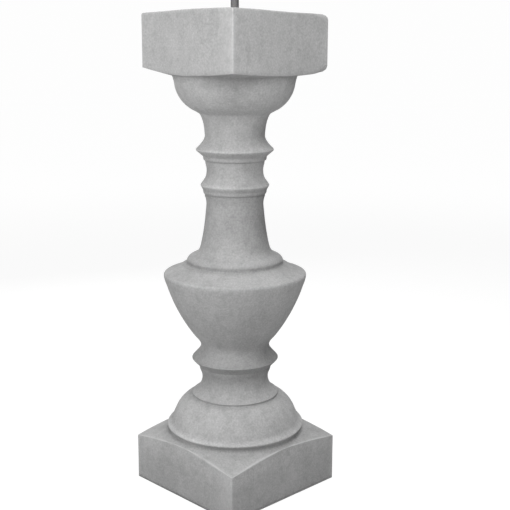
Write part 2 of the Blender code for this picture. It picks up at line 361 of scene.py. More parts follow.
@dataclass(frozen=True)
class HotRolledSteel:
    """Hot-rolled mild steel bar: dull blue-black mill scale with a bloom of rust and cement dust."""

    name: str = "hot_rolled_steel_mill_scale"
    scale: str = "#77777A"
    rust: str = "#75706C"
    dust: str = "#9B9A97"
    roughness: float = 0.62
    metallic: float = 0.55          # the scale and dust hide about half of the metal
    patch_size: float = 6 * MM
    speck_size: float = 1.2 * MM
    relief: float = 0.08 * MM

    def build(self) -> Material:
        """Make the material.

        Returns:
            The finished material.
        """
        material, shader, add = new_material(self.name)
        place = add("ShaderNodeTexCoord").outputs["Object"]
        patch = add(NOISE, {"Vector": place, "Scale": 1 / self.patch_size, "Detail": 4.0})
        speck = add(NOISE, {"Vector": place, "Scale": 1 / self.speck_size, "Detail": 2.0})
        rusted = add(MAP_RANGE, {"Value": patch, "From Min": 0.45, "From Max": 0.7, "To Max": 0.7})
        dusty = add(MAP_RANGE, {"Value": speck, "From Min": 0.55, "From Max": 0.75, "To Max": 0.6})
        colour: Any = linear(self.scale)
        for amount, over in ((rusted, self.rust), (dusty, self.dust)):
            colour = add(MIX, {SHARE: amount, FROM: colour, TO: linear(over)}, data_type="RGBA")
        bump = add("ShaderNodeBump", {"Strength": 0.5, "Distance": self.relief, "Height": speck})
        feed(shader, {"Base Color": colour, "Metallic": self.metallic, "Roughness": self.roughness,
                      "Normal": bump})
        return material


# The casting


@dataclass(frozen=True)
class Band:
    """A band round the casting where painted shade darkens its skin, or painted light makes it paler."""

    place: str
    height: float
    reach: float
    tone: float                     # under 0 it is painted shade, over 0 painted light

    def at(self, height: float) -> float:
        """Painted shade or light that the band gives at one height."""
        return self.tone * fading(height - self.height, self.reach)


@dataclass(frozen=True)
class Groove(Band):
    """A crease sunk into the turned outline, whose skin is painted darker as shade in the crease."""

    depth: float


@dataclass(frozen=True)
class Rub:
    """How far an arris is rubbed pale round its curve, which also paints a highlight along it."""

    most: float
    middle: float                   # degrees round the curve where it is rubbed most
    spread: float                   # degrees over which the share falls by 1

    def at(self, turn: float) -> float:
        """Share at a turn in degrees."""
        return self.most - abs(turn - self.middle) / self.spread


class Corner(Enum):
    """Corners of the square ends, by their direction from the axis in degrees, as the photograph has them."""

    NEAR = -45.0
    RIGHT = 45.0
    FAR = 135.0
    LEFT = -135.0

    def closeness(self, angle: float, reach: float) -> float:
        """How close a direction is to this corner, 1 at it and fading to 0 over a reach in degrees."""
        return fading(angle_gap(angle, self.value), reach)


@dataclass
class Station:
    """One row of the casting's surface, which runs all the way round it.

    A row is a circle of this radius where squareness is 0, and follows the rounded square where it is 1. The
    wear weights say how far the row goes in and down with the wear of the top, soffit and crown arrises.
    """

    radius: float
    height: float
    squareness: float = 0.0
    half_side: float = 0.0
    soffit: float = 0.0             # rise of the cap's underside towards the corners
    crown: float = 0.0              # fall of the plinth's turned top towards the corners
    screed: float = 0.0             # share of the hand-struck top's unevenness
    wear_in: tuple[float, float, float] = (0.0, 0.0, 0.0)
    wear_down: tuple[float, float, float] = (0.0, 0.0, 0.0)
    edge: float = 0.0               # 1 on an arris or a nose that handling rubs pale, with a painted highlight


@dataclass
class StemOutline:
    """Outline of the turned stem, read from the CAD node and smoothed between its corners."""

    low: float
    high: float
    step: float = 2.6 * MM
    fine_step: float = 1.0 * MM
    fine_reach: float = 3.0 * MM    # the outline is divided finely within this of a corner
    corner_turn: float = math.radians(17)    # a point where the outline turns more is a corner
    nose_wear: float = 0.45 * MM    # how far a nose or a crease is softened
    wear_samples: int = 5           # points to that distance while it is softened
    rub_radius: float = 1.9 * MM    # noses of about this radius and sharper are rubbed pale, with painted highlights
    min_ring: int = 30              # a height with this many vertices is a turned one
    axis_clear: float = 20 * MM     # the bar's socket lies within this, and the stem outside it
    same: float = 0.02 * MM
    # Each groove sinks a crease, and its fourth number paints shade into it.
    grooves: tuple[Groove, ...] = (
        Groove("cove", 0.0730, 3.4 * MM, -0.9, depth=3.4 * MM),
        Groove("over the lip", 0.0855, 2.3 * MM, -0.5, depth=1.3 * MM),
        Groove("top of the bell", 0.1190, 1.9 * MM, -2.2, depth=1.6 * MM),
        Groove("under the collar", 0.2940, 2.8 * MM, -3.2, depth=2.6 * MM),
        Groove("middle fillet", 0.3797, 1.5 * MM, -2.0, depth=1.1 * MM),
        Groove("upper fillet", 0.4215, 1.5 * MM, -1.2, depth=1.0 * MM))

    def points(self) -> Outline:
        """Read the outline from the CAD node.

        Returns:
            The outline.
        """
        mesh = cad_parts[STONE_NODE].data
        places = np.zeros(len(mesh.vertices) * 3)
        mesh.vertices.foreach_get("co", places)
        places = np.unique(np.round(places.reshape(-1, 3), 6), axis=0)
        radii, heights = np.hypot(places[:, 0], places[:, 1]), places[:, 2]
        kept = (heights > self.low - self.same) & (heights < self.high + self.same)
        kept &= radii > self.axis_clear
        radii, heights = radii[kept], heights[kept]
        rings = []
        for height in np.unique(np.round(heights, 5)):
            at = np.abs(heights - height) < self.same / 2
            if at.sum() >= self.min_ring and np.ptp(radii[at]) < self.same * 2:
                rings.append((float(np.median(radii[at])), float(np.median(heights[at]))))
        return np.array(rings)

    def divided(self) -> Outline:
        """Divide the outline evenly, and finely near its corners, on smooth curves between them.

        Returns:
            The divided outline.
        """
        points = self.points()
        sharp = np.nonzero(np.abs(turns(points)) > self.corner_turn)[0] + 1
        corners = [0, *(int(number) for number in sharp), len(points) - 1]
        pieces = []
        for first, last in zip(corners, corners[1:]):
            run = points[first:last + 1]
            at = distances(run)
            curve = smooth_curve if len(run) > 3 else straight_curve
            pieces.append(curve(at, run, self._marks(at[-1]))[:-1])
        return self._grooved(self._softened(np.concatenate([*pieces, points[-1:]])))

    def _marks(self, length: float) -> np.ndarray:
        """Distances along one run at which it is divided.

        Args:
            length: Length of the run.

        Returns:
            Distances from its start to its end.
        """
        reach = min(self.fine_reach, length / 2)
        head = np.linspace(0.0, reach, max(1, round(reach / self.fine_step)) + 1)
        middle = length - 2 * reach
        count = max(1, round(middle / self.step)) if middle > self.fine_step / 2 else 0
        body = np.linspace(reach, length - reach, count + 1)[1:] if count else np.zeros(0)
        return np.concatenate([head, body, (length - head[::-1])[1:]])

    def _softened(self, points: Outline) -> Outline:
        """Round the corners of the divided outline, as wear does.

        Args:
            points: The divided outline.

        Returns:
            The outline with soft corners, both ends kept.
        """
        at = distances(points)
        even = np.arange(0.0, at[-1], self.nose_wear / self.wear_samples)
        line = straight_curve(at, points, even)
        side = 3 * self.wear_samples
        weights = np.exp(-0.5 * (np.arange(-side, side + 1) / self.wear_samples) ** 2)
        weights /= weights.sum()
        padded = np.concatenate([2 * line[0] - line[side:0:-1], line, 2 * line[-1] - line[-2:-side - 2:-1]])
        soft = np.column_stack([np.convolve(values, weights, mode="valid") for values in padded.T])
        result = straight_curve(even, soft, at)
        result[[0, -1]] = points[[0, -1]]
        return result

    def _grooved(self, points: Outline) -> Outline:
        """Sink the creases under the collar, the lips and the fillets, square to the outline.

        Args:
            points: The outline.

        Returns:
            The outline with its grooves, both ends kept.
        """
        along = np.gradient(points, axis=0)
        inward = np.column_stack([-along[:, 1], along[:, 0]]) / np.hypot(*along.T)[:, None]
        at = distances(points)
        depth = np.zeros(len(points))
        for groove in self.grooves:
            middle = at[np.abs(points[:, 1] - groove.height).argmin()]
            depth += groove.depth * fading(at - middle, groove.reach)
        depth[[0, -1]] = 0.0
        return points + inward * depth[:, None]

    def stations(self) -> list[Station]:
        """Rows of the stem.

        Returns:
            Rows from the top down.
        """
        points = self.divided()
        lengths = np.diff(distances(points))
        bend = np.zeros(len(points))
        bend[1:-1] = turns(points) / ((lengths[1:] + lengths[:-1]) / 2)
        sharp = np.clip(bend * self.rub_radius - 1.0, 0.0, 1.0)
        LOG.info("stem outline: %d rows, heights %.4f to %.4f m", len(points), points[0, 1], points[-1, 1])
        return [Station(float(r), float(z), edge=float(e)) for (r, z), e in zip(points, sharp)][::-1]


@dataclass
class SquarePlan:
    """Directions round the axis in which the casting is divided, and what differs from corner to corner.

    Reaches are in degrees, and say over how far a corner's own wear, rubbing or slope fades.
    """

    corner_rounding: float = 0.019          # of half the side
    spacing: float = 1.80                   # degrees between columns
    near_corner: tuple[float, ...] = (2.4, 1.4, 0.85, 0.54, 0.27)     # degrees from a corner, closer columns
    top_wear: float = 1.8 * MM
    soffit_wear: float = 1.2 * MM
    crown_wear: float = 0.8 * MM
    near_crown_wear: float = 2.8 * MM       # along the two sides that meet at the near corner
    near_crown_reach: float = 75.0
    crown_corner_wear: float = 0.8 * MM
    least_crown_wear: float = 0.25 * MM
    crown_room_share: float = 0.45          # of the room between the crown's foot and the side
    corner_wear: dict[Corner, tuple[float, float]] = field(default_factory=lambda: {
        Corner.NEAR: (1.4 * MM, 0.6 * MM), Corner.RIGHT: (7.0 * MM, 8.0 * MM),
        Corner.LEFT: (2.4 * MM, 0.2 * MM), Corner.FAR: (3.0 * MM, 2.0 * MM)})
    corner_reach: float = 7.0
    near_highlight: float = 0.60              # painted highlight on the side left of the near corner
    near_highlight_reach: float = 7.5
    arris_rubbing: float = 0.45
    arris_reach: float = 1.6
    shade_side_middle: float = 80.0                # degrees from the near corner to the middle of the side with painted shade
    shade_side_reach: float = 40.0
    left_soffit: float = 1.50               # extra slope of the cap's underside towards its left corner
    soffit_blend: float = 12.0              # degrees from the middle of a side over which it comes in
    crown_lift: dict[Corner, float] = field(default_factory=lambda: {
        Corner.RIGHT: 0.21, Corner.LEFT: 0.10, Corner.FAR: 0.10, Corner.NEAR: 0.03})
    lift_reach: float = 40.0
    struck_high: float = -68.0              # direction in which the hand-struck top is highest
    struck: tuple[float, float, float] = (1.03, 0.87, -0.6)     # its tilt, its saddle and its drop, in mm
    plinth_half: float = 0.0915
    crown_foot: float = 0.0905

    def angles(self) -> list[float]:
        """Directions of the columns.

        Returns:
            Degrees, rising, over one full turn.
        """
        first = 45 - self.near_corner[0]
        steps = round(first / self.spacing)
        half = [first * i / steps for i in range(steps + 1)]
        eighth = half + [45 - gap for gap in self.near_corner[1:]] + [45.0]
        quarter = [-a for a in reversed(eighth[1:])] + eighth[:-1]
        return [middle + a for middle in (-90.0, 0.0, 90.0, 180.0) for a in quarter]

    def reach(self, angle: float) -> float:
        """Distance from the axis to the rounded square, for half a side of 1.

        Args:
            angle: Direction in degrees.

        Returns:
            The distance.
        """
        off = math.radians((angle + 45) % 90 - 45)
        inner = 1 - self.corner_rounding
        if abs(math.tan(off)) <= inner:
            return 1 / math.cos(off)
        along = inner * (math.cos(off) + abs(math.sin(off)))
        return along + math.sqrt(along**2 - (2 * inner**2 - self.corner_rounding**2))

    def nearest(self, angle: float, reach: float) -> float:
        """Closeness of a direction to the corner nearest to it."""
        return max(corner.closeness(angle, reach) for corner in Corner)

    def wear(self, angle: float) -> tuple[float, float, float]:
        """Rounding of the arrises in one direction.

        Args:
            angle: Direction in degrees.

        Returns:
            Radii of the top, soffit and crown arrises.
        """
        top, soffit = self.top_wear, self.soffit_wear
        for corner, (own_top, own_soffit) in self.corner_wear.items():
            near = corner.closeness(angle, self.corner_reach)
            top += (own_top - self.top_wear) * near
            soffit += (own_soffit - self.soffit_wear) * near
        front = Corner.NEAR.closeness(angle, self.near_crown_reach)
        crown = self.crown_wear + (self.near_crown_wear - self.crown_wear) * front
        room = self.plinth_half * self.reach(angle) - self.crown_foot
        crown = min(crown, self.least_crown_wear + self.crown_room_share * room)
        crown += (self.crown_corner_wear - crown) * self.nearest(angle, self.corner_reach)
        return top, soffit, crown

    def rub_and_highlight(self, angle: float) -> float:
        """How far the sides are rubbed pale in one direction on upright arrises, with a painted highlight
        left of the near one.
        """
        broad = self.near_highlight * (angle < Corner.NEAR.value)
        return max(self.arris_rubbing * self.nearest(angle, self.arris_reach),
                   broad * Corner.NEAR.closeness(angle, self.near_highlight_reach))

    def shade_side_share(self, angle: float) -> float:
        """How much one direction lies on the side whose waists get painted shade."""
        return fading(angle_gap(angle, Corner.NEAR.value + self.shade_side_middle), self.shade_side_reach)

    def struck_top(self, angle: float) -> float:
        """Height of the hand-struck top's arris over the mean in one direction."""
        off, (tilt, saddle, drop) = math.radians(angle - self.struck_high), self.struck
        return (tilt * math.cos(off) + saddle * math.cos(2 * off) + drop) * MM

    def crown_fall(self, angle: float) -> float:
        """How steeply the plinth's turned top falls in one direction, as a share of its mean fall."""
        return 1 - sum(lift * corner.closeness(angle, self.lift_reach)
                       for corner, lift in self.crown_lift.items())

    def soffit_rise(self, angle: float) -> float:
        """How many times more steeply than the rest the cap's underside rises in one direction."""
        share = min(1.0, max(0.0, (45 - angle_gap(angle, Corner.LEFT.value)) / self.soffit_blend))
        return 1 + self.left_soffit * share * share * (3 - 2 * share)


@dataclass
class Baluster:
    """The casting: plinth, turned stem and cap in one."""

    plinth_corner: float = 0.0568
    crown_rise: float = 0.0118
    bowl_rim: float = 0.0765
    cap_height: float = 0.0748
    soffit_rise: float = 0.0041
    cap_twist: float = 0.8          # degrees by which the cap is turned out of line with the plinth
    bowl_height: float = 0.040
    socket_radius: float = 0.0053
    socket_depth: float = 0.080
    mouth_wear: float = 1.0 * MM
    foot_wear: float = 1.2 * MM
    crown_drop: float = 0.9         # how far the crown's arris is worn down, as a share of how far in
    side_step: float = 3.1 * MM
    unevenness: float = 0.55 * MM
    unevenness_size: float = 60 * MM
    trowel_marks: float = 0.30 * MM
    trowel_mark_size: float = 15 * MM
    grit: float = 0.16 * MM
    grit_size: float = 3.4 * MM
    pit_depth: float = 0.9 * MM
    pit_spacing: float = 24 * MM
    pit_radius: float = 1.9 * MM
    seed: int = 7
    # Pale rubbing round each arris, which also paints highlights along them, most on the plinth's crown.
    top_rub: Rub = Rub(0.35, 45, 150)
    soffit_rub: Rub = Rub(0.8, 45, 70)
    crown_rub: Rub = Rub(1.0, 40, 60)
    foot_rub: float = 0.6
    fine_turns: tuple[float, ...] = (0, 22.5, 45, 67.5, 90)     # degrees round an arris, from its flat
    coarse_turns: tuple[float, ...] = (90, 60, 30, 0)           # and from its side
    socket_shares: tuple[float, ...] = (0.6, 0.25, 0.08)
    top_shares: tuple[float, ...] = (
        0.0, 0.04, 0.09, 0.16, 0.24, 0.33, 0.43, 0.53, 0.63, 0.73, 0.82, 0.9, 0.96)
    soffit_shares: tuple[float, ...] = (0.9, 0.76, 0.6, 0.44, 0.28, 0.14, 0.05)
    crown_shares: tuple[float, ...] = (0.06, 0.15, 0.26, 0.38, 0.5, 0.62, 0.74, 0.86)
    foot_shares: tuple[float, ...] = (0.9, 0.7, 0.45, 0.2)
    # Painted light and shade by height: paler on the plinth's top, the lip, the bell, the urn's brow, the
    # rings, their noses and the bowl; darker low on the plinth, in the cove, the throat and the shaft, and
    # under the cap.
    bands: tuple[Band, ...] = (
        Band("shaded foot", 0.000, 0.025, -0.9), Band("plinth's edge", 0.060, 0.012, 1.3),
        Band("foot of the cove", 0.0705, 0.0025, -1.4), Band("highlit lip", 0.0803, 0.0024, 2.8),
        Band("lit bell", 0.100, 0.028, 1.8), Band("shaded throat", 0.162, 0.022, -1.8),
        Band("lit brow of the urn", 0.262, 0.018, 1.1), Band("shaded shaft", 0.350, 0.034, -1.5),
        Band("lit rings", 0.430, 0.030, 0.7), Band("middle ring's nose", 0.3915, 0.0025, 2.6),
        Band("upper ring's nose", 0.4352, 0.0030, 2.4), Band("lit bowl", 0.489, 0.024, 2.1),
        Band("shaded soffit", 0.5245, 0.0035, -1.1))
    # Painted shade on one side of the waists, by height.
    side_shade_bands: tuple[Band, ...] = (
        Band("throat", 0.170, 0.026, -2.8), Band("shaft", 0.348, 0.050, -4.2),
        Band("neck", 0.456, 0.020, -4.6))
    plan: SquarePlan = field(default_factory=SquarePlan)

    def __post_init__(self) -> None:
        """Take the overall sizes from the frame."""
        self.plinth_half, _, self.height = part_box(STONE_NODE)[1]
        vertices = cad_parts[STONE_NODE].data.vertices
        self.cap_half = max(v.co.x for v in vertices if v.co.z > self.height - self.cap_height / 2)
        self.crown_top = self.plinth_corner + self.crown_rise
        self.rim_height = self.height - self.cap_height

    def tone(self, height: float) -> float:
        """Painted shade (under 0) and light (over 0) of the skin at one height."""
        return sum(band.at(height) for band in (*self.bands, *StemOutline.grooves))

    def side_shade(self, height: float) -> float:
        """Painted shade that one side of the waists has besides, at one height."""
        return sum(band.at(height) for band in self.side_shade_bands)

    def cap_rows(self) -> list[Station]:
        """Socket, top, side and underside of the cap.

        Returns:
            Rows from the axis in the socket to the rim of the bowl.
        """
        top, half, bore, wear = self.height, self.cap_half, self.socket_radius, self.mouth_wear
        mouth = bore + wear
        rows = [Station(0.0, top - self.socket_depth), Station(bore, top - self.socket_depth)]
        rows += [Station(bore, top - self.socket_depth * share) for share in self.socket_shares]
        rows += [Station(bore, top - wear), Station(bore + 0.3 * wear, top - 0.3 * wear)]
        rows += [Station(mouth, top, share, half, screed=share**2, wear_in=(share, 0, 0))
                 for share in self.top_shares]
        for turn in self.fine_turns:
            inward, down = arc(turn)
            rows.append(Station(mouth, top, 1.0, half, screed=1.0, wear_in=(inward, 0, 0),
                                wear_down=(down, 0, 0), edge=self.top_rub.at(turn)))
        slope = self.soffit_rise / (half * math.sqrt(2) - self.bowl_rim)
        arris = self.rim_height + slope * (half - self.bowl_rim)
        steps = round((top - arris) / self.side_step)
        for up in (1 - step / steps for step in range(1, steps)):
            rows.append(Station(mouth, arris + (top - arris) * up, 1.0, half, soffit=slope * (1 - up),
                                screed=up, wear_down=(up, up - 1, 0)))
        for turn in self.coarse_turns:
            inward, down = arc(turn)
            rows.append(Station(mouth, arris, 1.0, half, soffit=slope, wear_in=(0, inward, 0),
                                wear_down=(0, -down, 0), edge=self.soffit_rub.at(turn)))
        for share in self.soffit_shares:
            rows.append(Station(self.bowl_rim, self.rim_height + slope * share * (half - self.bowl_rim),
                                share, half, soffit=slope * share, wear_in=(0, share, 0)))
        return rows

    def plinth_rows(self) -> list[Station]:
        """Turned crown, sides and underside of the plinth.

        Returns:
            Rows from the foot of the cove to the axis.
        """
        half, foot, wear = self.plinth_half, self.plan.crown_foot, self.foot_wear
        slope = self.crown_rise / (half * math.sqrt(2) - foot)
        arris = self.crown_top - slope * (half - foot)
        rows = [Station(foot, self.crown_top - slope * share * (half - foot), share, half,
                        crown=-slope * share, wear_in=(0, 0, share)) for share in self.crown_shares]
        for turn in self.fine_turns:
            inward, down = arc(turn)
            rows.append(Station(foot, arris, 1.0, half, crown=-slope, wear_in=(0, 0, inward),
                                wear_down=(0, 0, down * self.crown_drop), edge=self.crown_rub.at(turn)))
        steps = round(arris / self.side_step)
        for up in (1 - step / steps for step in range(1, steps)):
            rows.append(Station(foot, wear + (arris - wear) * up, 1.0, half, crown=-slope * up,
                                wear_down=(0, 0, up * self.crown_drop)))
        for turn in self.coarse_turns:
            inward, down = arc(turn)
            rows.append(Station(-wear * inward, wear * (1 - down), 1.0, half - wear * inward,
                                edge=self.foot_rub))
        rows += [Station(0.0, 0.0, share, half - wear) for share in self.foot_shares]
        return rows + [Station(0.0, 0.0)]

    def rule_mesh(self, rows: list[Station], angles: list[float]) -> Mesh:
        """Write the rows and the directions as the points of a mesh, which the tree reads by number.

        Args:
            rows: Rows of the casting.
            angles: Directions of the columns.

        Returns:
            Mesh of the rows' points followed by the columns' points.
        """
        mesh, plan = bpy.data.meshes.new("turning_rule"), self.plan
        places = [(r.radius, 0.0, r.height) for r in rows]
        places += [(math.cos(math.radians(a)), math.sin(math.radians(a)), plan.reach(a)) for a in angles]
        mesh.from_pydata(places, [], [])
        tables = {
            "square": ([(r.squareness, r.half_side, r.edge) for r in rows],
                       [(plan.rub_and_highlight(a), 0.0, 0.0) for a in angles]),
            "slope": ([(r.soffit, r.crown, 0.0) for r in rows],
                      [(plan.soffit_rise(a), plan.crown_fall(a), 0.0) for a in angles]),
            "struck": ([(r.screed, 0.0, 0.0) for r in rows],
                       [(plan.struck_top(a), 0.0, 0.0) for a in angles]),
            "wear_in": ([r.wear_in for r in rows], [plan.wear(a) for a in angles]),
            "wear_down": ([r.wear_down for r in rows], [(0.0, 0.0, 0.0)] * len(angles)),
            # painted light and shade by height, and painted shade on one side of the waists
            "tone": ([(self.tone(r.height), self.side_shade(r.height), 0.0) for r in rows],
                     [(1.0, plan.shade_side_share(a), 0.0) for a in angles]),
        }
        for name, (of_rows, of_columns) in tables.items():
            layer = mesh.attributes.new(name, "FLOAT_VECTOR", "POINT")
            layer.data.foreach_set("vector", np.array(of_rows + of_columns, dtype=np.float32).ravel())
        return mesh

    def build(self, finish: Material) -> Object:
        """Make the casting as one plain mesh.

        Args:
            finish: Its material.

        Returns:
            The finished piece.
        """
        stem = StemOutline(self.crown_top, self.rim_height)
        rows, angles = self.cap_rows() + stem.stations() + self.plinth_rows(), self.plan.angles()
        inputs = {
            "Rows": len(rows), "Columns": len(angles), "Unevenness": self.unevenness,
            "Unevenness Size": self.unevenness_size, "Trowel Marks": self.trowel_marks,
            "Trowel Marks Size": self.trowel_mark_size, "Grit": self.grit, "Grit Size": self.grit_size,
            "Pit Depth": self.pit_depth, "Pit Spacing": self.pit_spacing, "Pit Radius": self.pit_radius,
            "Seed": float(self.seed), "Mould Half": float(self.plinth_half),
            "Twist": math.radians(self.cap_twist), "Twist From": float(self.rim_height - self.bowl_height),
            "Twist To": float(self.rim_height), "Material": finish,
        }
        source = new_object("turning_rule", self.rule_mesh(rows, angles))
        modifier = source.modifiers.new("turn_and_square", "NODES")
        modifier.node_group = TurnAndSquare(inputs).build()
        set_inputs(modifier, inputs)
        piece = made_plain(source, "cast_stone_baluster")
        LOG.info("casting: %d rows, %d columns, %d faces", len(rows), len(angles), len(piece.data.polygons))
        return piece


@dataclass
class TurnAndSquare:
    """Geometry Nodes tree that turns rows into a solid, cuts its ends square and wears its surface."""

    inputs: dict[str, Any]          # the named inputs, whose values say what kind each is
    name: str = "turn_and_square"
    merge_distance: float = 0.01 * MM
    side_only: float = 12.0         # keeps the rubbing of upright arrises off the flat faces beside them
    pit_lack: float = 0.45          # share of the cells without a pit
    least_pit: float = 1e-6         # keeps the radius of a missing pit over 0

    def build(self) -> NodeTree:
        """Build the tree.

        Returns:
            The node tree.
        """
        tree = bpy.data.node_groups.new(self.name, "GeometryNodeTree")
        add = partial(add_node, tree)
        tree.interface.new_socket("Geometry", in_out="INPUT", socket_type="NodeSocketGeometry")
        for name, value in self.inputs.items():
            kind = {int: "Int", float: "Float"}.get(type(value), "Material")
            tree.interface.new_socket(name, in_out="INPUT", socket_type="NodeSocket" + kind)
        tree.interface.new_socket("Geometry", in_out="OUTPUT", socket_type="NodeSocketGeometry")
        given = add("NodeGroupInput").outputs
        worn = self._wear(add, given, self._turn(add, given))
        smooth = add("GeometryNodeSetShadeSmooth", {"Geometry": worn})
        real = add("GeometryNodeRealizeInstances", {"Geometry": smooth})
        dressed = add("GeometryNodeSetMaterial", {"Geometry": real, "Material": given["Material"]})
        add("NodeGroupOutput", {"Geometry": dressed})
        return tree

    def _read(self, add: Adder, rule: NodeSocket, name: str, number: Node) -> Node:
        """Read a table of the rule at a numbered point.

        Args:
            add: Adds a node to the tree.
            rule: Geometry that holds the tables.
            name: Name of the table, or an empty word for the point's place.
            number: Number of the point.

        Returns:
            The table's vector there.
        """
        if name:
            value = add("GeometryNodeInputNamedAttribute", {"Name": name}, data_type="FLOAT_VECTOR")
        else:
            value = add("GeometryNodeInputPosition")
        return add("GeometryNodeSampleIndex", {"Geometry": rule, "Value": value, "Index": number},
                   data_type="FLOAT_VECTOR")

    def _turn(self, add: Adder, given: Any) -> Node:
        """Turn the rows round the axis and follow the square where they do.

        Args:
            add: Adds a node to the tree.
            given: Outputs of the group's input node.

        Returns:
            The turned and squared solid.
        """
        across = add(MATH, [given["Columns"], 1.0], operation="ADD")
        sheet = add("GeometryNodeMeshGrid", {"Vertices X": given["Rows"], "Vertices Y": across})
        number = add("GeometryNodeInputIndex")
        share = add(MATH, [number, across], operation="DIVIDE")
        row = add(MATH, [share], operation="FLOOR")
        seat = add(MATH, [number, across], operation="MODULO")
        column = add(MATH, [seat, given["Columns"]], operation="MODULO")
        column = add(MATH, [column, given["Rows"]], operation="ADD")
        read = partial(self._read, add, given["Geometry"])
        place, square, toward, near = (
            add("ShaderNodeSeparateXYZ", [read(name, at)]).outputs
            for name, at in (("", row), ("square", row), ("", column), ("square", column)))
        # The last product is painted light and shade: bands by height, plus painted shade on one side of the
        # waists.
        slope, struck, inward, down, tone = (
            add(VECTOR_MATH, [read(name, row), read(other, column)], operation="DOT_PRODUCT")
            for name, other in (("slope", "slope"), ("struck", "struck"), ("wear_in", "wear_in"),
                                ("wear_down", "wear_in"), ("tone", "tone")))
        limit = add(MATH, [square[1], toward[2]], operation="MULTIPLY")
        radius = add(MIX, {SHARE: square[0], PLAIN_FROM: place[0], PLAIN_TO: limit}, data_type="FLOAT",
                     clamp_factor=False)
        bite = add(MATH, [inward, toward[2]], operation="MULTIPLY")
        radius = add(MATH, [radius, bite], operation="SUBTRACT")
        past = add(MATH, [limit, square[1]], operation="SUBTRACT")
        height = add(MATH, [slope, past, place[2]], operation="MULTIPLY_ADD")
        height = add(MATH, [height, struck], operation="ADD")
        height = add(MATH, [height, down], operation="SUBTRACT")
        x, y = (add(MATH, [radius, part], operation="MULTIPLY") for part in (toward[0], toward[1]))
        spot = add("ShaderNodeCombineXYZ", [x, y, height])
        twist = add(MAP_RANGE, {"Value": height, "From Min": given["Twist From"],
                                "From Max": given["Twist To"], "To Max": given["Twist"]})
        spot = add("ShaderNodeVectorRotate", {"Vector": spot, "Angle": twist}, rotation_type="Z_AXIS")
        side = add(MATH, [square[0], self.side_only], operation="POWER")
        corner = add(MATH, [near[0], side], operation="MULTIPLY")
        edge = add(MATH, [corner, square[2]], operation="MAXIMUM")
        marked = sheet
        # Pale rubbing with painted highlights, and painted light and shade, are kept on the points for the
        # material.
        for name, value in (("worn", edge), ("tone", tone)):
            marked = add(STORE, {"Geometry": marked, "Name": name, "Value": value}, data_type="FLOAT",
                         domain="POINT")
        placed = add("GeometryNodeSetPosition", {"Geometry": marked, "Position": spot})
        return add("GeometryNodeMergeByDistance", {"Geometry": placed, "Distance": self.merge_distance})

    def _wear(self, add: Adder, given: Any, solid: Node) -> Node:
        """Move the surface by the mould's unevenness, trowel marks, grit and pits, and keep it in the mould.

        Args:
            add: Adds a node to the tree.
            given: Outputs of the group's input node.
            solid: The solid.

        Returns:
            The worn solid.
        """
        place = add("GeometryNodeInputPosition")
        total: Any = 0.0
        for name, detail in (("Unevenness", 1.0), ("Trowel Marks", 2.0), ("Grit", 1.0)):
            scale = add(MATH, [1.0, given[name + " Size"]], operation="DIVIDE")
            noise = add(NOISE, {"Vector": place, "W": given["Seed"], "Scale": scale, "Detail": detail},
                        noise_dimensions="4D")
            level = add(MATH, [noise, 0.5], operation="SUBTRACT")
            total = add(MATH, [level, given[name], total], operation="MULTIPLY_ADD")
        depth = self._pits(add, given, place)
        sunk = add(MATH, [depth, given["Pit Depth"]], operation="MULTIPLY")
        total = add(MATH, [total, sunk], operation="SUBTRACT")
        normal = add("GeometryNodeInputNormal")
        shift = add(VECTOR_MATH, {0: normal, "Scale": total}, operation="SCALE")
        marked = add(STORE, {"Geometry": solid, "Name": "pit", "Value": depth}, data_type="FLOAT",
                     domain="POINT")
        moved = add("GeometryNodeSetPosition", {"Geometry": marked, "Offset": shift})
        half = given["Mould Half"]
        less = add(MATH, [half, -1.0], operation="MULTIPLY")
        kept = place
        for operation, limits in (("MAXIMUM", [less, less, 0.0]), ("MINIMUM", [half, half, 1.0])):
            kept = add(VECTOR_MATH, [kept, add("ShaderNodeCombineXYZ", limits)], operation=operation)
        return add("GeometryNodeSetPosition", {"Geometry": moved, "Position": kept})

    def _pits(self, add: Adder, given: Any, place: Node) -> Node:
        """Small pits in some of the cells of a coarse cell pattern.

        Args:
            add: Adds a node to the tree.
            given: Outputs of the group's input node.
            place: Position of each point.

        Returns:
            How deep each point lies in a pit, from 0 to 1.
        """
        scale = add(MATH, [1.0, given["Pit Spacing"]], operation="DIVIDE")
        cells = add("ShaderNodeTexVoronoi", {"Vector": place, "W": given["Seed"], "Scale": scale},
                    voronoi_dimensions="4D")
        chance = add("FunctionNodeSeparateColor", [cells.outputs["Color"]])
        gap = add(MATH, [cells, given["Pit Spacing"]], operation="MULTIPLY")
        share = add(MAP_RANGE, {"Value": chance, "From Min": self.pit_lack, "From Max": 1.0})
        radius = add(MATH, [share, given["Pit Radius"]], operation="MULTIPLY")
        radius = add(MATH, [radius, self.least_pit], operation="ADD")
        return add(MAP_RANGE, {"Value": gap, "From Min": radius, "From Max": 0.0},
                   interpolation_type="SMOOTHSTEP")


# The bar


